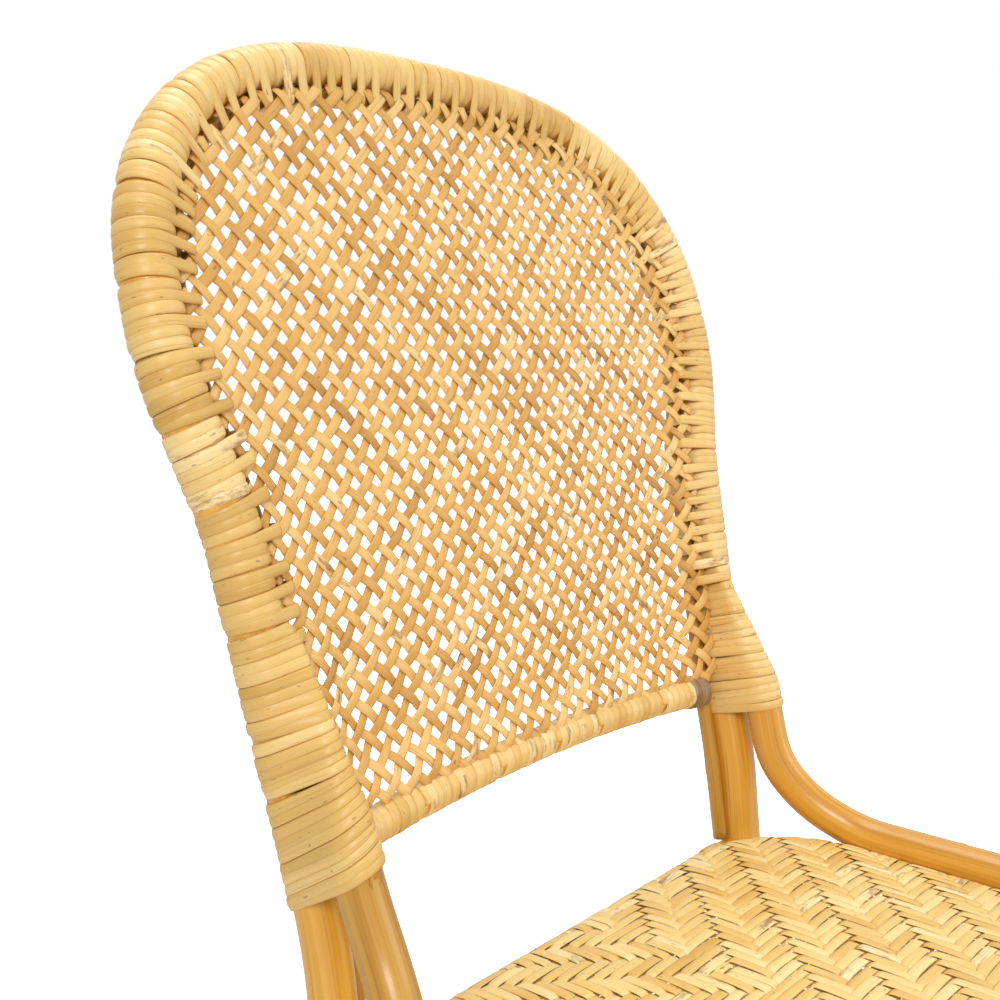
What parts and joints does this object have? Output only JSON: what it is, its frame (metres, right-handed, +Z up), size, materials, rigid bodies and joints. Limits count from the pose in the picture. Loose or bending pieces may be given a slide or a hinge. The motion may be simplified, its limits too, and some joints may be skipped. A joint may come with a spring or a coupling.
{
  "type": "cane back chair",
  "caption": "Dining chair with a bent pole frame, an arched back of open diagonal cane bound with peel, and a closed twill cane seat.",
  "frame": {"origin": "bottom centre of the chair's bounding box, on the floor", "axes": "+Z up, the chair faces -Y, +X to the sitter's left"},
  "size_m": [0.4684, 0.5823, 0.9504],
  "materials": {
    "pole": "semi-gloss lacquered rattan pole, fine lengthwise grain",
    "rod": "semi-gloss thin rattan rod",
    "peel": "glossy cane peel",
    "cane": "satin cane strand",
    "seat_cane": "satin flat cane, closed twill",
    "tie": "satin brown peel",
    "screw_steel": "zinc-plated steel",
    "glide": "matte nylon"
  },
  "bodies": {
    "root": {"back_hoop_pole": "pole", "inner_hoop_rod": "rod", "left_side_pole": "pole", "right_side_pole": "pole", "seat_ring_rod": "pole", "woven_seat": "seat_cane", "right_seat_support": "rod", "middle_seat_support": "rod", "left_seat_support": "rod", "rear_seat_rail": "pole", "front_seat_rail": "pole", "left_stretcher": "pole", "right_stretcher": "pole", "cross_stretcher": "pole", "rim_wrap": "peel", "left_corner_binding": "peel", "right_corner_binding": "peel", "bottom_back_rail": "pole", "rail_wrap": "peel", "rail_tie": "tie", "back_cane_panel": "cane", "rear_rail_bindings": "peel", "front_rail_bindings": "peel", "stretcher_bindings": "peel", "cross_stretcher_bindings": "peel", "frame_screws": "screw_steel", "ring_screws": "screw_steel", "foot_glides": "glide"}
  },
  "joints": []
}
